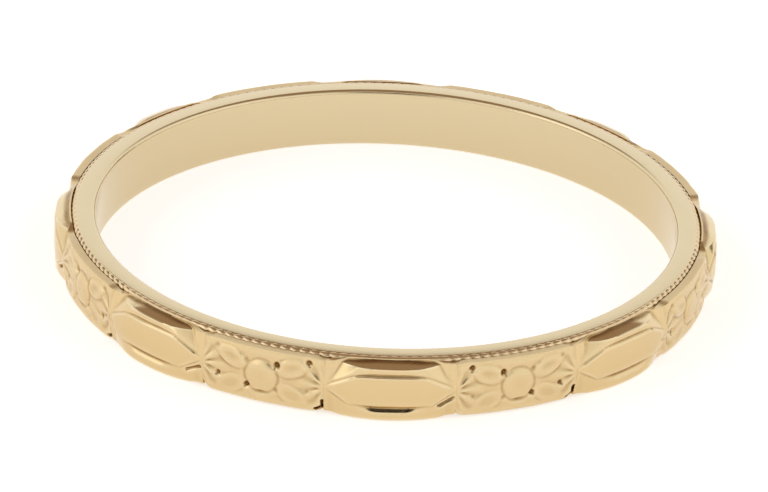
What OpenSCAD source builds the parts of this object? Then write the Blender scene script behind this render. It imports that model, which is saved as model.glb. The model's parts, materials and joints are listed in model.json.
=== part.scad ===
// Narrow yellow gold wedding band with an applied border of bar and blossom plaques.
// Millimetres. The finger axis is +Z, the lower side face lies at Z = 0, and bar plaque 1 faces -Y.

/* [Band] */
// Bore diameter, which sets the ring size (16.5 is a US 6)
bore_d = 16.5; // [15:0.25:20]
// Width of the band along the finger
band_w = 1.75; // [1.65:0.05:2.1]
// Wall of the plain inner band
liner_t = 0.6; // [0.45:0.05:0.9]
// Rounding of the two edges that touch the finger
edge_round = 0.12; // [0.05:0.01:0.16]

/* [Milgrain wires] */
// Radius of the half-round wire that carries the beads
wire_r = 0.085; // [0.06:0.005:0.1]

/* [Border] */
// Bars around the band, with one blossom between each two
bar_n = 8; // [7:1:9]
// Clear gap between two neighbouring plaques
plaque_gap = 0.05; // [0.03:0.01:0.1]

/* [Bar plaques] */
// Share of one bar-and-blossom pitch that the bar covers
bar_share = 0.5; // [0.46:0.01:0.52]
// Height of the raised table above the inner band
table_rise = 0.56; // [0.55:0.01:0.65]
// Width of the table across the band
table_w = 0.88; // [0.7:0.02:0.9]
// Height of the border rail above the inner band
rail_rise = 0.53; // [0.42:0.01:0.55]
// Width of the groove between table and rail, at the top
groove_w = 0.16; // [0.1:0.01:0.18]
// Height of the end facets where they reach the bar's outline
facet_rise = 0.26; // [0.2:0.01:0.3]

/* [Blossom plaques] */
// Radius of the round boss in the middle
boss_r = 0.36; // [0.3:0.01:0.42]
// Radius of each of the four petals
petal_r = 0.33; // [0.28:0.01:0.38]
// Height of the blossom's ground above the inner band
ground_rise = 0.36; // [0.28:0.01:0.4]
// Height of the boss, petals and leaves above the ground
relief = 0.09; // [0.05:0.01:0.12]

/* [Hidden] */
$fn = 96;

bore_r = bore_d / 2;
liner_r = bore_r + liner_t;
half_w = band_w / 2;
pitch_angle = 360 / bar_n;

// The wire lies just inside the side face, and the plaques have a rebate that clears it.
wire_z = half_w - wire_r - 0.005;
bed_r = liner_r + wire_r + 0.015;
bed_z = wire_z - wire_r - 0.015;

table_r = liner_r + table_rise;
rail_r = liner_r + rail_rise;
facet_r = liner_r + facet_rise;
ground_r = liner_r + ground_rise;
top_r = ground_r + relief;

// Plaque lengths are measured along the band at the rail's radius.
pitch = rail_r * pitch_angle * PI / 180;
bar_half = pitch * bar_share / 2 - plaque_gap / 2;
blossom_half = pitch * (1 - bar_share) / 2 - plaque_gap / 2;
bar_w = half_w - 0.015;
blossom_w = half_w - 0.05;
bar_flat = 0.53 * bar_half;
rail_half = 0.66 * bar_half;

gold = [0.89, 0.77, 0.53];
pale_gold = [0.93, 0.84, 0.64];
deep_gold = [0.80, 0.64, 0.38];

// Places work drawn on the -Y side at one station of the border, at half the band's width.
module at_station(angle) {
    translate([0, 0, half_w]) rotate([0, 0, angle]) children();
}

module barrel(r) {
    cylinder(r = r, h = 2 * band_w, center = true, $fn = 240);
}

// A flat outline, x along the band and y across it, standing on a plane at distance r from the axis.
module plate(r) {
    translate([0, -r, 0]) rotate([90, 0, 0]) linear_extrude(height = 0.01) children();
}

// A block through the wall whose end walls point at the axis. Its outline is convex.
module radial_block() {
    hull() for (r = [liner_r - 0.2, table_r + 0.2])
        plate(r) scale([r / rail_r, 1]) children();
}

module pointed_hexagon(half_length, half_width, flat_half) {
    polygon([
        [half_length, 0], [flat_half, half_width], [-flat_half, half_width],
        [-half_length, 0], [-flat_half, -half_width], [flat_half, -half_width]
    ]);
}

// A ring between the inner band and radius r, rebated on both sides over the wires.
module seated_ring(r, half_width, bevel) {
    rotate_extrude($fn = 240) polygon([
        [liner_r, -bed_z], [bed_r, -bed_z], [bed_r, -half_width],
        [r - bevel, -half_width], [r, -half_width + bevel],
        [r, half_width - bevel], [r - bevel, half_width],
        [bed_r, half_width], [bed_r, bed_z], [liner_r, bed_z]
    ]);
}

module liner_section() {
    difference() {
        translate([bore_r, 0]) square([liner_t, band_w]);
        for (end = [0, 1])
            translate([bore_r, end * band_w]) mirror([0, end]) difference() {
                translate([-1, -1]) square([1 + edge_round, 1 + edge_round]);
                translate([edge_round, edge_round]) circle(r = edge_round);
            }
    }
}

module band_liner() {
    color(pale_gold) rotate_extrude($fn = 240) liner_section();
}

module milgrain_wire(side) {
    color(deep_gold) translate([0, 0, half_w + side * wire_z])
        rotate_extrude($fn = 240) translate([liner_r, 0]) intersection() {
            circle(r = wire_r);
            translate([0, -1]) square([1, 2]);
        }
}

// The table is a pointed hexagon whose top follows the band. Its sides slope down at 45 degrees.
module table() {
    drop = table_r - facet_r;
    intersection() {
        barrel(table_r);
        hull() {
            plate(table_r) pointed_hexagon(bar_half - 0.14, table_w / 2, bar_flat);
            plate(facet_r - 0.4) pointed_hexagon(
                bar_half + 2.4 * (drop + 0.4), table_w / 2 + drop + 0.4, bar_flat);
        }
    }
}

module bar_outline() {
    hull() {
        square([2 * bar_half, 0.5], center = true);
        square([2 * bar_half - 0.3, 1.45 * bar_w], center = true);
        square([2 * bar_flat, 2 * bar_w], center = true);
    }
}

// Two straight rails, one on each side of the table.
module rails() {
    difference() {
        intersection() {
            seated_ring(rail_r, bar_w, 0.05);
            radial_block() square([2 * rail_half, 2 * bar_w], center = true);
        }
        cube([2 * bar_half, 3 * table_r, table_w + 2 * groove_w], center = true);
    }
}

module bar_plaque(i) {
    color(gold) at_station((i - 1) * pitch_angle) intersection() {
        union() {
            seated_ring(facet_r, bar_w, 0.05);
            rails();
            difference() {
                table();
                barrel(facet_r - 0.05);
            }
        }
        radial_block() bar_outline();
    }
}

module blossom_outline() {
    square([2 * blossom_half, 2 * blossom_w], center = true);
}

// A round dome standing on the ground of a blossom.
module dome(r, at) {
    sink = (r * r - relief * relief) / (2 * relief);
    rotate([0, 0, at[0] / ground_r * 180 / PI])
        translate([0, -ground_r + sink, at[1]]) sphere(r = sink + relief);
}

// A pointed leaf, the overlap of two round cutters.
module leaf(at, length, width, turn) {
    cutter = (length * length + width * width) / (4 * width);
    rotate([0, 0, at[0] / ground_r * 180 / PI])
        translate([0, 0, at[1]]) rotate([0, turn, 0]) rotate([90, 0, 0]) intersection() {
            for (side = [-1, 1])
                translate([0, side * (cutter - width / 2), 0]) cylinder(r = cutter, h = top_r - 0.03);
            cylinder(r = length, h = top_r - 0.03);
        }
}

module blossom_plaque(i) {
    color(gold) at_station((i - 0.5) * pitch_angle) {
        intersection() {
            union() {
                seated_ring(ground_r, blossom_w, 0.08);
                intersection() {
                    barrel(top_r);
                    difference() {
                        union() {
                            dome(boss_r, [0, 0]);
                            for (end = [-1, 1], side = [-1, 1]) {
                                dome(petal_r, [end * 0.47 * blossom_half, side * 0.43 * blossom_w]);
                                leaf([end * 0.8 * blossom_half, side * 0.36 * blossom_w],
                                    0.8, 0.3, end * side * 25);
                            }
                        }
                        barrel(ground_r - 0.1);
                    }
                }
            }
            radial_block() blossom_outline();
        }
    }
}

band_liner();
milgrain_wire(1);  // milgrain_wire_upper
milgrain_wire(-1);  // milgrain_wire_lower
for (i = [1 : bar_n]) {
    bar_plaque(i);
    blossom_plaque(i);
}
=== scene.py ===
import functools
import json
import math
import random

import bmesh
import bpy
import numpy as np
from mathutils import Matrix, Vector


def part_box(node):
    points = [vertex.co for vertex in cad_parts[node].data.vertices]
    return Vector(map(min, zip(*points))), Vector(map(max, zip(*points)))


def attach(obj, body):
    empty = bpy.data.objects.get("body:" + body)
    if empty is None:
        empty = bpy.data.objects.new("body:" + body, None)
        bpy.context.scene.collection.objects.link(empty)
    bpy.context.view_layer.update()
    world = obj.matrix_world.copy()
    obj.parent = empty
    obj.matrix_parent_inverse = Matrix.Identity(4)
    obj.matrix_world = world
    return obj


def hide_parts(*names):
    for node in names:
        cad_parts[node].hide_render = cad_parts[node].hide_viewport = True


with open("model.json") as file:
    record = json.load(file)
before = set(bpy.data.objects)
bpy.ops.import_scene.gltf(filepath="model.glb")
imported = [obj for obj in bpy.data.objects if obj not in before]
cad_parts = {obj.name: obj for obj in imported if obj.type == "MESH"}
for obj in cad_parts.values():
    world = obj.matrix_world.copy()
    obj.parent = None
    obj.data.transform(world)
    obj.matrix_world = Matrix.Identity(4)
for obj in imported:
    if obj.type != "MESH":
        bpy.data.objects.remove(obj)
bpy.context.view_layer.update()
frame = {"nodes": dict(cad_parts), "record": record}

# ---------------------------------------------------------------- sizes, in millimetres
MM = 0.001
MOUNTS = {mount["name"]: mount for mount in frame["record"]["mounts"]}
BORE_R = MOUNTS["finger_bore"]["dims"]["r_mm"]
LINER_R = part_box("band_liner")[1].x / MM
BAND_W = (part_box("band_liner")[1].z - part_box("band_liner")[0].z) / MM
HALF_W = BAND_W / 2
BAR_COUNT = len([name for name in frame["nodes"] if name.startswith("bar_plaque_")])
PITCH = math.tau / BAR_COUNT

# Heights are above the plain inner band; lengths run along the band at the rails' radius.
TABLE_RISE = -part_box("bar_plaque_1")[0].y / MM - LINER_R
RAIL_RISE = TABLE_RISE - 0.03
RAIL_R = LINER_R + RAIL_RISE
# The plaques meet end to end, with this much clearance at each end.
END_GAP = 0.0005
PLAQUE_HALF = RAIL_R * PITCH / 4 - END_GAP
GROUND_RISE = 0.37
BAR_EDGE = HALF_W - 0.015
BLOSSOM_EDGE = HALF_W - 0.07

# Rounding of the inner band: at the finger, and at the outer corners under the beads.
FINGER_EDGE = 0.12
LINER_CORNER = 0.08

# The bead row sits on the outer corner, and each plaque has a rebate over it.
BEADS_PER_PITCH = 25
BEAD_R = 0.115
# How far a bead stands out of the wire beside a bar, and how much more beside a blossom.
PRESSED_BEAD = 0.12
FULL_BEAD = 0.28
# The beads lean by this share of one bead from the bottom of the wire to its middle.
BEAD_LEAN = 0.2
# How dark the gaps between beads are: partly real tarnish, partly painted shade.
BEAD_GAP_TARNISH_AND_SHADE = 1.6
BEAD_ROW_R = LINER_R - 0.03
BEAD_ROW_Z = HALF_W - BEAD_R - 0.002
BED_RISE = 0.095
BED_EDGE = BEAD_ROW_Z - BEAD_R - 0.015
BLANK_RISE = 0.4


# ---------------------------------------------------------------- curves used by the chasing
def ramp(low, high, value):
    """0 below low, 1 above high, smooth between."""
    share = np.clip((value - low) / (high - low), 0, 1)
    return share * share * (3 - 2 * share)


def soft_max(first, second, blend):
    """The larger of two heights, with a rounded crossing."""
    return blend * np.logaddexp(first / blend, second / blend)


def soft_min(first, second, blend):
    """The smaller of two heights, with a rounded crossing."""
    return -soft_max(-first, -second, blend)


def past(value, limit, blend=0.02):
    """How far value is past limit, with a rounded start."""
    return soft_max(value - limit, 0 * value, blend)


def spot(x, y, at, size):
    """A round mark of a punch, 1 at its middle."""
    return np.exp(-((x - at[0]) ** 2 + (y - at[1]) ** 2) / size**2)


def graver_cut(x, y, start, end, width, depth):
    """Depth of a short straight cut with rounded ends."""
    run_x = end[0] - start[0]
    run_y = end[1] - start[1]
    share = ((x - start[0]) * run_x + (y - start[1]) * run_y) / (run_x**2 + run_y**2)
    share = np.clip(share, 0, 1)
    gap = np.hypot(x - start[0] - share * run_x, y - start[1] - share * run_y)
    return depth * np.exp(-((gap / width) ** 2))


# ---------------------------------------------------------------- relief of the border
TABLE_HALF = 0.44
TABLE_FLAT = 0.95
TABLE_TIP = 1.84
GROOVE_WALL = 0.16
# The tops of the table and rails sink this much towards a bar's tips.
TIP_DROP = 0.09
# The border was struck a little nearer the upper side of the band than the lower.
BORDER_SHIFT = 0.05
LOWER_SCALE = 0.84
FACET_RISE = 0.53
SHOULDER_START = 0.71
SHOULDER_DROP = 0.38
SIDE_RISE = 0.15
# A bar and a blossom are blended to one height by this distance from the middle of each.
MEETING = 1.86
# A short slip of the graver beside one tip: from one place to another, its width and its depth.
BAR_CUT = ((1.36, -0.41), (1.76, -0.21))
BAR_CUT_WIDTH = 0.05
BAR_CUT_DEPTH = 0.07


def junction(y):
    """Height where a bar and a blossom meet: high at the bar's tip and low at the sides."""
    return 0.44 - 0.22 * past(np.abs(y), 0.12, 0.05)


def bar_table(across, outside, along, upper, tip_drop):
    """The raised table: a crowned top that rolls over towards its lower edge, and its falling sides."""
    lower_roll = (1 - upper) * (1 - 0.6 * ramp(0.8, 1.5, along)) * 4.5 * past(across, 0.15, 0.03) ** 3
    crown = TABLE_RISE - 0.004 - 0.01 * (across / TABLE_HALF) ** 2 - tip_drop - lower_roll
    fall = TABLE_RISE - 0.015 - (1.1 + 0.5 * (1 - upper)) * (outside + 0.01 * upper) - tip_drop
    return soft_min(crown, fall, 0.006)


def groove_wall(outside, along, upper, tip_drop):
    """The groove's outer wall: straight above the table, rounded and deepest at mid-length below it."""
    mid_length = 1 - ramp(0.4, 1.05, along)
    width = GROOVE_WALL * (0.4 + 0.6 * mid_length)
    climb = np.minimum(outside - 0.02, width)
    climb = width - climb + np.maximum(climb, 0) ** 4 / (4 * width**3)
    lower_wall = RAIL_RISE + 0.014 - (0.30 + 0.42 * mid_length) * (climb - width / 4)
    upper_wall = RAIL_RISE - 0.012 - 0.03 * mid_length + 0.5 * (outside - 0.06)
    return lower_wall + (upper_wall - lower_wall) * upper - tip_drop


def rail_shoulder(y, along, upper):
    """How far a rail has rolled down towards its outer side. The lower rail stays level the longest."""
    start = SHOULDER_START + 0.02 * upper
    share = np.clip((np.abs(y) - start) / (BAR_EDGE + 0.005 - start), 0, 0.999)
    power = 3.5 - 2.3 * upper
    fall = (SHOULDER_DROP + 0.02 * upper) * (1 - (1 - share**power) ** (1 / power))
    return fall * (1 - 0.5 * ramp(1.0, 1.6, along))


def bar_relief(x, y):
    """Pointed table, groove round it, border rails and falling corner facets of one bar."""
    along = np.abs(x)
    across = np.where(y < BORDER_SHIFT, LOWER_SCALE * (BORDER_SHIFT - y), y - BORDER_SHIFT)
    # Shares: 0 below the table and 1 above it, then 0 at mid-length and 1 at the tips.
    upper = ramp(-0.1, 0.1, y)
    tip_drop = TIP_DROP * ramp(0.9, 1.9, along)
    taper = TABLE_HALF / (TABLE_TIP - TABLE_FLAT)
    slant = (across - taper * (TABLE_TIP - along)) / math.hypot(1, taper)
    outside = soft_max(across - TABLE_HALF, slant, 0.03)
    table = bar_table(across, outside, along, upper, tip_drop)
    wall = groove_wall(outside, along, upper, tip_drop)
    facet = FACET_RISE - tip_drop - (0.34 + 0.42 * upper) * past(slant, 0.05, 0.05)
    rail = soft_min(RAIL_RISE - 0.012 * upper + 0 * x, wall, 0.006)
    rail = soft_min(rail, facet, 0.02) - rail_shoulder(y, along, upper)
    height = soft_max(table, rail, 0.005)
    lowest = SIDE_RISE + (junction(y) - 0.18) * ramp(1.15, 1.6, along)
    height = soft_max(height, lowest, 0.015)
    height = height + (junction(y) - height) * ramp(1.5, MEETING, along)
    return height - graver_cut(x, y, *BAR_CUT, BAR_CUT_WIDTH, BAR_CUT_DEPTH)


def bar_outline(x):
    """Half width of a bar at each place along it, below its rails."""
    return BAR_EDGE - 0.10 * ramp(1.0, 1.75, np.abs(x))


BOSS_R = 0.36
BOSS_RISE = 0.445
PETAL_AT = (0.93, 0.43)
PETAL_LONG = 0.46
PETAL_SHORT = 0.28
PETAL_RISE = 0.43
# Radians from one leaf to the next in the fans at a bar's tip.
LEAF_SPREAD = 0.62
# Marks of a round punch on the right half of the flower: place along, place across, size, depth.
PITS = [(1.37, 0.62, 0.09, 0.12), (1.35, -0.24, 0.07, 0.07),
        (0.45, 0.40, 0.09, 0.12), (0.45, -0.36, 0.08, 0.10)]
# Share of a pit's depth where the punch was struck lightly.
LIGHT_BLOW = 0.3
# The graver left a hooked crevice in one lower corner: two cuts, each from one place to another.
CREVICE = [((1.80, -0.46), (1.82, -0.64)), ((1.82, -0.64), (1.60, -0.74))]
CREVICE_WIDTH = 0.045
CREVICE_DEPTH = 0.16
# The two lower corners of a blossom fall away outside a quarter circle of this radius.
BLOSSOM_CORNER = 0.3


def petal_relief(along, across):
    """A cupped oval petal pointing away from the boss."""
    turn = math.atan2(PETAL_AT[1], PETAL_AT[0])
    u = (along - PETAL_AT[0]) * math.cos(turn) + (across - PETAL_AT[1]) * math.sin(turn)
    v = (across - PETAL_AT[1]) * math.cos(turn) - (along - PETAL_AT[0]) * math.sin(turn)
    reach = np.hypot(u / PETAL_LONG, v / PETAL_SHORT)
    cup = 0.045 * (1 - ramp(0.0, 0.9, reach))
    return PETAL_RISE - cup - 0.28 * past(reach, 0.9, 0.10)


def boss_relief(x, y):
    """The round boss, dished like a button."""
    reach = np.hypot(x, y)
    dish = 0.012 * (1 - ramp(0.0, 0.3, reach))
    return BOSS_RISE - dish - 0.16 * reach**2 - 0.42 * past(reach, BOSS_R, 0.04)


def leaf_fan(along, across):
    """Leaves with a soft midrib, spread from the tip of the neighbouring bar."""
    out = PLAQUE_HALF + 0.05 - along
    reach = np.hypot(out, across)
    bearing = np.arctan2(across, out)
    blades = 0.5 + 0.5 * np.cos(bearing / LEAF_SPREAD * math.tau)
    window = ramp(0.05, 0.35, reach) * (1 - ramp(0.6, 1.0, reach))
    return window * (0.04 * blades - 0.02) * (1 - ramp(1.1, 1.4, bearing))


def blossom_ground(x, y):
    """The sunk ground: raised at the bars' tips, cut in round the boss, and carrying the leaf fans."""
    along = np.abs(x)
    across = np.abs(y)
    ground = GROUND_RISE + 0.045 * ramp(1.2, 1.84, along) * (1 - ramp(0.15, 0.5, across))
    ground = ground - 0.02 * (across / BLOSSOM_EDGE) ** 2
    ground = ground + leaf_fan(along, across)
    return ground - 0.03 * np.exp(-(((np.hypot(x, y) - 0.47) / 0.08) ** 2))


def blossom_relief(x, y, diagonal):
    """Boss, four petals, leaf fans and pits punched harder along one diagonal, 1 or -1."""
    along = np.abs(x)
    across = np.abs(y)
    # The lower petals are worn almost flat.
    petals = petal_relief(along, across) - 0.03 * (1 - ramp(-0.2, 0.1, y))
    height = soft_max(blossom_ground(x, y), petals, 0.013)
    height = soft_max(height, boss_relief(x, y), 0.013)
    margin = GROUND_RISE + 0.01 - 0.3 * past(across, 0.66, 0.04)
    height = height + (margin - height) * ramp(0.5, 0.74, across)
    for pit_x, pit_y, size, depth in PITS:
        struck = LIGHT_BLOW + (1 - LIGHT_BLOW) * ramp(-0.1, 0.1, x * pit_y * diagonal)
        height = height - depth * struck * spot(along, y, (pit_x, pit_y), size)
    height = height - 0.03 * spot(x / 2.5, y, (0, -0.47), 0.06)
    height = height + (junction(y) - height) * ramp(1.62, MEETING, along)
    for start, end in CREVICE:
        height = height - graver_cut(x, y, start, end, CREVICE_WIDTH, CREVICE_DEPTH)
    past_end = past(along, PLAQUE_HALF - BLOSSOM_CORNER)
    past_side = past(across, BLOSSOM_EDGE - BLOSSOM_CORNER)
    rim = np.hypot(past_end, past_side) - BLOSSOM_CORNER
    return height - 0.9 * past(rim, -0.03, 0.015) * ramp(0.55, 0.7, across) * (1 - ramp(0, 0.3, y))


def blossom_outline(x):
    """Half width of a blossom at each place along it."""
    return BLOSSOM_EDGE - 0.04 * ramp(1.5, 1.84, np.abs(x))


def hand_unevenness(station, x, y, amount):
    """The slight waviness of hand finishing, different on each plaque."""
    draw = random.Random(40 + station)
    waves = 0 * x
    for _ in range(7):
        bearing = draw.uniform(0, math.tau)
        length = draw.uniform(0.5, 1.4)
        phase = draw.uniform(0, math.tau)
        run = x * math.cos(bearing) + y * math.sin(bearing)
        waves = waves + np.cos(run * math.tau / length + phase)
    return amount * waves


# ---------------------------------------------------------------- making the pieces
def around(vertices):
    """Angle from the -Y side, radius and height from mid-width of each vertex, as arrays."""
    places = np.array([vertex.co[:] for vertex in vertices])
    angle = np.arctan2(places[:, 0], -places[:, 1])
    return angle, np.hypot(places[:, 0], places[:, 1]), places[:, 2]


def place_around(vertices, angle, radius, z):
    """Puts each vertex at its angle, radius and height, the reverse of around."""
    for vertex, a, r, level in zip(vertices, angle, radius, z):
        vertex.co = (r * math.sin(a), -r * math.cos(a), level)


def closed_section(bm, corners):
    """A closed outline in the plane of the axis, on the -Y side. Returns its edges in order."""
    points = [bm.verts.new((0, -radius, level)) for radius, level in corners]
    return [bm.edges.new((point, points[(i + 1) % len(points)])) for i, point in enumerate(points)]


# A place on a plaque is fully hollow or fully worn this far below or above the mean round it; a full
# hollow gets the full tarnish and painted shade.
FULL_HOLLOW = 0.03
FULL_WORN = 0.02
TONE_REACH = 0.07
# The sides and rebate of a plaque get this share of the tarnish and painted shade.
SIDE_TARNISH_AND_SHADE = 0.2


def tone_layers(bm):
    """Two numbers on each vertex, which the finishes read: how deep a hollow it is in, which sets its
    tarnish and painted shade, and how worn.
    """
    return bm.verts.layers.float.new("tarnish_and_shade_mask"), bm.verts.layers.float.new("worn")


def spin_ring(bm, angle, steps, full):
    """Spins everything in bm about the finger axis, and joins the ends of a full turn."""
    bmesh.ops.spin(
        bm, geom=bm.verts[:] + bm.edges[:], cent=(0, 0, 0), axis=(0, 0, 1),
        angle=angle, steps=steps, use_merge=full, use_normal_flip=False, use_duplicate=False,
    )


def finish_piece(name, bm, node, material, crease=50):
    """Lifts the work to the band's place, makes it an object and hangs it on the frame."""
    bmesh.ops.recalc_face_normals(bm, faces=bm.faces)
    # A curved plaque can come out of that inside out, which its volume shows.
    if bm.calc_volume(signed=True) < 0:
        bmesh.ops.reverse_faces(bm, faces=bm.faces)
    bmesh.ops.translate(bm, verts=bm.verts, vec=(0, 0, HALF_W))
    bmesh.ops.scale(bm, verts=bm.verts, vec=(MM, MM, MM))
    mesh = bpy.data.meshes.new(name)
    bm.to_mesh(mesh)
    bm.free()
    mesh.polygons.foreach_set("use_smooth", [True] * len(mesh.polygons))
    mesh.set_sharp_from_angle(angle=math.radians(crease))
    piece = bpy.data.objects.new(name, mesh)
    bpy.context.scene.collection.objects.link(piece)
    mesh.materials.append(material)
    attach(piece, "root")
    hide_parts(node)
    return piece


def plaque_blank(edge):
    """A plain plaque on the -Y side: a section with a rebate over the beads, spun through its sector."""
    rows = 104
    columns = 220
    bm = bmesh.new()
    bed_r = LINER_R + BED_RISE
    blank_r = LINER_R + BLANK_RISE
    outline = closed_section(bm, [
        (LINER_R, -BED_EDGE), (bed_r, -BED_EDGE), (bed_r, -edge), (blank_r, -edge),
        (blank_r, edge), (bed_r, edge), (bed_r, BED_EDGE), (LINER_R, BED_EDGE),
    ])
    bmesh.ops.subdivide_edges(bm, edges=[outline[3]], cuts=rows - 1)
    bmesh.ops.subdivide_edges(bm, edges=[outline[2], outline[4]], cuts=3)
    half_angle = PLAQUE_HALF / RAIL_R
    turn = Matrix.Rotation(-half_angle, 3, "Z")
    bmesh.ops.rotate(bm, cent=(0, 0, 0), matrix=turn, verts=bm.verts)
    spin_ring(bm, 2 * half_angle, columns, full=False)
    open_ends = [side for side in bm.edges if side.is_boundary]
    bmesh.ops.holes_fill(bm, edges=open_ends, sides=0)
    return bm


def plaque(name, node, material, blank, relief, outline, unevenness, station):
    """A chased plaque: the top of a blank is raised to the relief and its sides are cut to the outline."""
    bm = blank.copy()
    tarnish_and_shade_mask, worn = tone_layers(bm)
    vertices = bm.verts[:]
    angle, radius, z = around(vertices)
    x = angle * RAIL_R
    edge = np.max(z)
    past_bed = np.clip((np.abs(z) - BED_EDGE) / (edge - BED_EDGE), 0, 1)
    z = z - np.sign(z) * past_bed * (edge - outline(x))
    rise = relief(x, z) + hand_unevenness(station, x, z, unevenness)
    share = np.clip((radius - LINER_R - BED_RISE) / (BLANK_RISE - BED_RISE), 0, 1)
    radius = radius + share * (rise - BLANK_RISE)
    # A hollow lies below the mean height around it, and a worn edge above it. Hollows are darkened with
    # tarnish and painted shade, and worn edges are lightened.
    turns = np.arange(8) * math.tau / 8
    nearby = [relief(x + TONE_REACH * math.cos(turn), z + TONE_REACH * math.sin(turn)) for turn in turns]
    below = np.mean(nearby, axis=0) - relief(x, z)
    for vertex, depth, lift in zip(vertices, below, share):
        vertex[tarnish_and_shade_mask] = min(max(depth / FULL_HOLLOW, 0), 1) if lift > 0.99 else SIDE_TARNISH_AND_SHADE
        vertex[worn] = min(max(-depth / FULL_WORN, 0), 1) * lift
    place_around(vertices, angle + station * PITCH, radius, z)
    return finish_piece(name, bm, node, material)


def liner(name, node, material):
    """The plain inner band, with its two finger edges rounded and its outer corners eased."""
    bm = bmesh.new()
    closed_section(bm, [(BORE_R, -HALF_W), (BORE_R, HALF_W), (LINER_R, HALF_W), (LINER_R, -HALF_W)])
    for corner_r, width, steps in ((BORE_R, FINGER_EDGE, 8), (LINER_R, LINER_CORNER, 3)):
        corners = [point for point in bm.verts if abs(abs(point.co.y) - corner_r) < 1e-6]
        bmesh.ops.bevel(
            bm, geom=corners, offset=width, offset_type="OFFSET", segments=steps,
            profile=0.5, affect="VERTICES", material=-1,
        )
    inside = [side for side in bm.edges if side.verts[0].co.y > -BORE_R - 0.01]
    straight = max(inside, key=lambda side: side.calc_length())
    bmesh.ops.subdivide_edges(bm, edges=[straight], cuts=5)
    spin_ring(bm, math.tau, 480, full=True)
    return finish_piece(name, bm, node, material)


def bead_wire():
    """A round wire at mid-width, raised into a row of beads that are pressed flatter beside the bars."""
    steps_per_bead = 8
    bm = bmesh.new()
    tarnish_and_shade_mask, worn = tone_layers(bm)
    section = bmesh.ops.create_circle(bm, segments=10, radius=BEAD_R, cap_ends=False)["verts"]
    upright = Matrix.Rotation(math.radians(90), 3, "Y")
    bmesh.ops.rotate(bm, cent=(0, 0, 0), matrix=upright, verts=section)
    bmesh.ops.translate(bm, verts=section, vec=(0, -BEAD_ROW_R, 0))
    spin_ring(bm, PITCH, BEADS_PER_PITCH * steps_per_bead, full=False)
    stretch = bm.verts[:] + bm.edges[:] + bm.faces[:]
    for turn in range(1, BAR_COUNT):
        new = bmesh.ops.duplicate(bm, geom=stretch)["geom"]
        copied = [item for item in new if isinstance(item, bmesh.types.BMVert)]
        around_axis = Matrix.Rotation(turn * PITCH, 3, "Z")
        bmesh.ops.rotate(bm, cent=(0, 0, 0), matrix=around_axis, verts=copied)
    bmesh.ops.remove_doubles(bm, verts=bm.verts, dist=BEAD_R / 50)

    vertices = bm.verts[:]
    angle, radius, z = around(vertices)
    along_bead = (angle / PITCH * BEADS_PER_PITCH) % 1
    along_bead = (along_bead + z / BEAD_R * BEAD_LEAN) % 1
    bulge = np.sqrt(np.clip(1 - (2 * along_bead - 1) ** 2, 0, 1))
    from_bar = np.abs((angle / PITCH + 0.5) % 1 - 0.5) * PITCH * RAIL_R
    strength = PRESSED_BEAD + FULL_BEAD * ramp(1.4, 2.0, from_bar)
    size = 1 - strength * (1 - bulge)
    # The gaps between beads are darkened with tarnish and painted shade, and the crowns are lightened as
    # worn.
    for vertex, gap, crown in zip(vertices, (1 - bulge) * strength * BEAD_GAP_TARNISH_AND_SHADE, bulge * strength):
        vertex[tarnish_and_shade_mask] = gap
        vertex[worn] = crown
    place_around(vertices, angle, BEAD_ROW_R + (radius - BEAD_ROW_R) * size, z * size)
    return bm


def milgrain(name, node, material, wire, side):
    """One bead wire, set on the upper (1) or lower (-1) corner of the inner band."""
    bm = wire.copy()
    bmesh.ops.translate(bm, verts=bm.verts, vec=(0, 0, side * BEAD_ROW_Z))
    return finish_piece(name, bm, node, material)


# ---------------------------------------------------------------- finishes
def make_group(name, inputs, outputs):
    """An empty node group with inputs (name, kind, value) and outputs (name, kind)."""
    group = bpy.data.node_groups.new(name, "ShaderNodeTree")
    for label, kind, value in inputs:
        socket = group.interface.new_socket(name=label, in_out="INPUT", socket_type=kind)
        socket.default_value = value
    for label, kind in outputs:
        group.interface.new_socket(name=label, in_out="OUTPUT", socket_type=kind)
    return group, group.nodes.new("NodeGroupInput"), group.nodes.new("NodeGroupOutput")


def add_math(tree, operation, first, second):
    """A sum, product or other operation on two values, each a number or a socket."""
    node = tree.nodes.new("ShaderNodeMath")
    node.operation = operation
    for socket, value in zip(node.inputs, (first, second)):
        if isinstance(value, bpy.types.NodeSocket):
            tree.links.new(value, socket)
        else:
            socket.default_value = value
    return node.outputs[0]


def add_mix(tree, share, first, second):
    """A colour between first and second."""
    node = tree.nodes.new("ShaderNodeMix")
    node.data_type = "RGBA"
    sockets = (node.inputs["Factor"], node.inputs[6], node.inputs[7])
    for socket, value in zip(sockets, (share, first, second)):
        if isinstance(value, bpy.types.NodeSocket):
            tree.links.new(value, socket)
        else:
            socket.default_value = value
    return node.outputs[2]


def add_noise(tree, vector, scale, detail, stretch=(1, 1, 1)):
    """Noise on the piece's own coordinates, stretched along one way if asked."""
    mapping = tree.nodes.new("ShaderNodeMapping")
    mapping.inputs["Scale"].default_value = stretch
    noise = tree.nodes.new("ShaderNodeTexNoise")
    noise.inputs["Scale"].default_value = scale
    noise.inputs["Detail"].default_value = detail
    tree.links.new(vector, mapping.inputs["Vector"])
    tree.links.new(mapping.outputs["Vector"], noise.inputs["Vector"])
    return noise.outputs[0]


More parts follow.
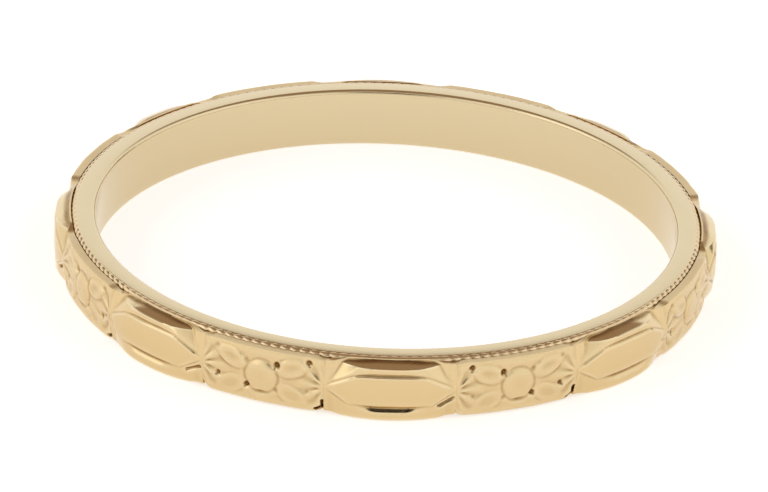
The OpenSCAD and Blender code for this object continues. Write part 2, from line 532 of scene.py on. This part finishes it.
def worn_polish_group():
    """Polish after years of wear: soft clouds in the gloss and fine scratches both ways."""
    group, given, result = make_group(
        "worn_polish",
        [("Gloss roughness", "NodeSocketFloat", 0.2), ("Haze", "NodeSocketFloat", 0.1),
         ("Scratch", "NodeSocketFloat", 0.5)],
        [("Roughness", "NodeSocketFloat"), ("Height", "NodeSocketFloat")],
    )
    place = group.nodes.new("ShaderNodeTexCoord").outputs["Object"]
    clouds = add_noise(group, place, 900, 3)
    across = add_noise(group, place, 9000, 2, (1, 1, 0.12))
    along = add_noise(group, place, 9000, 2, (0.1, 0.1, 1))
    along = add_math(group, "MULTIPLY", along, 1.6)
    grain = add_noise(group, place, 5200, 4)
    hazed = add_math(group, "MULTIPLY", clouds, given.outputs["Haze"])
    rough = add_math(group, "ADD", given.outputs["Gloss roughness"], hazed)
    group.links.new(rough, result.inputs["Roughness"])
    marks = add_math(group, "ADD", along, across)
    marks = add_math(group, "MULTIPLY", marks, given.outputs["Scratch"])
    group.links.new(add_math(group, "ADD", marks, grain), result.inputs["Height"])
    return group


def tarnish_and_shade_tone_group():
    """Gold that is darker and duller in the hollows, partly from real tarnish where polish never reaches
    and partly as painted shade, and bright on worn edges.
    """
    group, given, result = make_group(
        "tarnish_and_shade_tone",
        [("Gold", "NodeSocketColor", (1, 1, 1, 1)), ("Recess", "NodeSocketColor", (0, 0, 0, 1)),
         ("Edge", "NodeSocketColor", (1, 1, 1, 1)), ("Depth", "NodeSocketFloat", 1)],
        [("Color", "NodeSocketColor"), ("Dullness", "NodeSocketFloat")],
    )
    tarnish_and_shade_mask = group.nodes.new("ShaderNodeAttribute")
    tarnish_and_shade_mask.attribute_name = "tarnish_and_shade_mask"
    worn = group.nodes.new("ShaderNodeAttribute")
    worn.attribute_name = "worn"
    place = group.nodes.new("ShaderNodeTexCoord").outputs["Object"]
    patches = add_noise(group, place, 1500, 2)
    depth = add_math(group, "MULTIPLY", tarnish_and_shade_mask.outputs["Fac"], given.outputs["Depth"])
    depth = add_math(group, "MULTIPLY", depth, add_math(group, "ADD", patches, 0.5))
    depth = add_math(group, "MINIMUM", depth, 1)
    bright = add_mix(group, worn.outputs["Fac"], given.outputs["Gold"], given.outputs["Edge"])
    tinted = add_mix(group, depth, bright, given.outputs["Recess"])
    group.links.new(tinted, result.inputs["Color"])
    group.links.new(depth, result.inputs["Dullness"])
    return group


def place_group(tree, group, **values):
    """A node group placed in a finish, with its inputs set."""
    node = tree.nodes.new("ShaderNodeGroup")
    node.node_tree = group
    for label, value in values.items():
        node.inputs[label.replace("_", " ")].default_value = value
    return node


def gold(name, color, recess, edge, roughness, haze, scratch, depth):
    """One gold finish of the ring: its colours on the body, in recesses (real tarnish and painted shade)
    and on worn edges, and its polish.
    """
    material = bpy.data.materials.new(name)
    material.use_nodes = True
    tree = material.node_tree
    shader = tree.nodes["Principled BSDF"]
    shader.inputs["Metallic"].default_value = 1
    polish = place_group(tree, WORN_POLISH, Gloss_roughness=roughness, Haze=haze, Scratch=scratch)
    tone = place_group(tree, TARNISH_AND_SHADE_TONE, Gold=color, Recess=recess, Edge=edge, Depth=depth)
    dull = add_math(tree, "MULTIPLY", tone.outputs["Dullness"], 0.12)
    rough = add_math(tree, "ADD", polish.outputs["Roughness"], dull)
    bump = tree.nodes.new("ShaderNodeBump")
    bump.inputs["Strength"].default_value = 0.5
    bump.inputs["Distance"].default_value = 0.0000025
    tree.links.new(polish.outputs["Height"], bump.inputs["Height"])
    tree.links.new(bump.outputs["Normal"], shader.inputs["Normal"])
    tree.links.new(tone.outputs["Color"], shader.inputs["Base Color"])
    tree.links.new(rough, shader.inputs["Roughness"])
    return material


WORN_POLISH = worn_polish_group()
TARNISH_AND_SHADE_TONE = tarnish_and_shade_tone_group()
PALE = (0.68, 0.56, 0.35, 1)
BRIGHT = (0.74, 0.60, 0.37, 1)
BAR_BODY = (0.69, 0.525, 0.28, 1)
BLOSSOM_BODY = (0.68, 0.52, 0.28, 1)
BEAD_BODY = (0.76, 0.58, 0.35, 1)
# Dark brown of the hollows and bead gaps: partly real tarnish, partly painted shade.
TARNISH_AND_SHADE = (0.24, 0.13, 0.045, 1)
LINER_GOLD = gold("liner_gold", PALE, PALE, BRIGHT, roughness=0.16, haze=0.10, scratch=0.9, depth=0)
BAR_GOLD = gold("bar_gold", BAR_BODY, TARNISH_AND_SHADE, BRIGHT, roughness=0.12, haze=0.08, scratch=0.6, depth=0.8)
BLOSSOM_GOLD = gold(
    "blossom_gold", BLOSSOM_BODY, TARNISH_AND_SHADE, BRIGHT, roughness=0.20, haze=0.12, scratch=0.4, depth=1)
MILGRAIN_GOLD = gold(
    "milgrain_gold", BEAD_BODY, TARNISH_AND_SHADE, BRIGHT, roughness=0.22, haze=0.1, scratch=0.2, depth=1)


# ---------------------------------------------------------------- the ring
liner("polished_liner", "band_liner", LINER_GOLD)
WIRE = bead_wire()
milgrain("milgrain_beads_upper", "milgrain_wire_upper", MILGRAIN_GOLD, WIRE, 1)
milgrain("milgrain_beads_lower", "milgrain_wire_lower", MILGRAIN_GOLD, WIRE, -1)
BAR_BLANK = plaque_blank(BAR_EDGE)
BLOSSOM_BLANK = plaque_blank(BLOSSOM_EDGE)
BAR_UNEVENNESS = 0.0011
BLOSSOM_UNEVENNESS = 0.002
for number in range(1, BAR_COUNT + 1):
    plaque(f"chased_bar_{number}", f"bar_plaque_{number}", BAR_GOLD,
           BAR_BLANK, bar_relief, bar_outline, BAR_UNEVENNESS, number - 1)
    struck_relief = functools.partial(blossom_relief, diagonal=(-1) ** number)
    plaque(f"chased_blossom_{number}", f"blossom_plaque_{number}", BLOSSOM_GOLD,
           BLOSSOM_BLANK, struck_relief, blossom_outline, BLOSSOM_UNEVENNESS, number - 0.5)
for spare in (WIRE, BAR_BLANK, BLOSSOM_BLANK):
    spare.free()


# ---------------------------------------------------------------- floor, light and camera
CENTRE = Vector((0, 0, HALF_W * MM))
FLOOR_HALF = 0.45
# The floor lies this far under the ring, so that their faces don't share a plane.
FLOOR_GAP = 0.00001
CAMERA_AZIMUTH = -2.0
CAMERA_ELEVATION = 26.2
CAMERA_ROLL = 2.63
CAMERA_DISTANCE = 0.2


def towards(azimuth, elevation):
    """Unit vector from the ring to a place round it. Azimuth 0 is the -Y side, 90 is +X."""
    a = math.radians(azimuth)
    e = math.radians(elevation)
    return Vector((math.sin(a) * math.cos(e), -math.cos(a) * math.cos(e), math.sin(e)))


def glowing_sheet(name, finish, bm, base, glow, strength):
    """A flat matt sheet beside the ring, which gives light of its own."""
    mesh = bpy.data.meshes.new(name)
    bm.to_mesh(mesh)
    bm.free()
    sheet = bpy.data.objects.new(name, mesh)
    bpy.context.scene.collection.objects.link(sheet)
    material = bpy.data.materials.new(finish)
    material.use_nodes = True
    shader = material.node_tree.nodes["Principled BSDF"]
    shader.inputs["Base Color"].default_value = (*base, 1)
    shader.inputs["Roughness"].default_value = 1
    shader.inputs["Specular IOR Level"].default_value = 0
    shader.inputs["Emission Color"].default_value = (*glow, 1)
    shader.inputs["Emission Strength"].default_value = strength
    mesh.materials.append(material)
    return sheet


def pale_floor():
    """A white sheet lit from below as well as from above, as on a light table."""
    bm = bmesh.new()
    bmesh.ops.create_grid(bm, x_segments=1, y_segments=1, size=FLOOR_HALF)
    bmesh.ops.translate(bm, verts=bm.verts, vec=(0, 0, -FLOOR_GAP))
    floor = glowing_sheet("floor", "white_sheet", bm, base=(0.8, 0.8, 0.8), glow=(1, 1, 1), strength=0.55)


def card(name, azimuth, elevation, distance, width, height, color):
    """A card or softbox face that looks at the ring, and sends it that much light of each colour."""
    bm = bmesh.new()
    bmesh.ops.create_grid(bm, x_segments=1, y_segments=1, size=0.5)
    bmesh.ops.scale(bm, vec=(width, height, 1), verts=bm.verts)
    facing = towards(azimuth, elevation)
    bm.transform(facing.to_track_quat("Z", "Y").to_matrix().to_4x4())
    bmesh.ops.translate(bm, verts=bm.verts, vec=CENTRE + facing * distance)
    board = glowing_sheet(name, name, bm, base=(0, 0, 0), glow=color, strength=1)
    board.visible_camera = False
    board.visible_shadow = False


def room_light():
    """A pale room: bright near the horizon and greyer overhead."""
    world = bpy.data.worlds.new("studio")
    world.use_nodes = True
    tree = world.node_tree
    place = tree.nodes.new("ShaderNodeTexCoord")
    split = tree.nodes.new("ShaderNodeSeparateXYZ")
    tree.links.new(place.outputs["Generated"], split.inputs["Vector"])
    shade = tree.nodes.new("ShaderNodeValToRGB")
    shade.color_ramp.elements[0].color = (1.12, 1.12, 1.12, 1)
    shade.color_ramp.elements[0].position = 0.5
    shade.color_ramp.elements[1].color = (0.55, 0.52, 0.48, 1)
    shade.color_ramp.elements[1].position = 0.95
    tree.links.new(split.outputs["Z"], shade.inputs["Fac"])
    tree.links.new(shade.outputs["Color"], tree.nodes["Background"].inputs["Color"])
    bpy.context.scene.world = world


def set_camera():
    """A long lens, a little above the ring and turned a little clockwise."""
    data = bpy.data.cameras.new("camera")
    data.sensor_width = 36
    data.lens = 330
    data.shift_x = -0.0016
    data.shift_y = -0.0053
    data.clip_start = 0.01
    camera = bpy.data.objects.new("camera", data)
    facing = towards(CAMERA_AZIMUTH, CAMERA_ELEVATION)
    aim = (-facing).to_track_quat("-Z", "Y").to_matrix().to_4x4()
    roll = Matrix.Rotation(math.radians(CAMERA_ROLL), 4, "Z")
    camera.matrix_world = Matrix.Translation(CENTRE + facing * CAMERA_DISTANCE) @ aim @ roll
    bpy.context.scene.collection.objects.link(camera)
    bpy.context.scene.camera = camera


pale_floor()
room_light()
card("camera_shade", -2, 26, 0.23, 0.085, 0.055, (0, 0, 0))
card("tripod_head", -2, 27, 0.24, 0.11, 0.075, (0.12, 0.09, 0.06))
card("onlooker", -2, 30, 0.26, 0.15, 0.13, (0.35, 0.29, 0.22))
card("left_stand", -54, 36, 0.3, 0.045, 0.06, (0.02, 0.02, 0.02))
card("right_stand", 122, 8, 0.3, 0.07, 0.05, (0.02, 0.02, 0.02))
card("ceiling", 0, 100, 0.5, 0.7, 0.8, (0.36, 0.25, 0.17))
card("left_softbox", -70, 30, 0.5, 0.4, 0.4, (1.5, 1.5, 1.5))
card("right_softbox", 75, 32, 0.5, 0.35, 0.35, (1.2, 1.2, 1.2))
set_camera()
bpy.context.scene.view_settings.view_transform = "Standard"
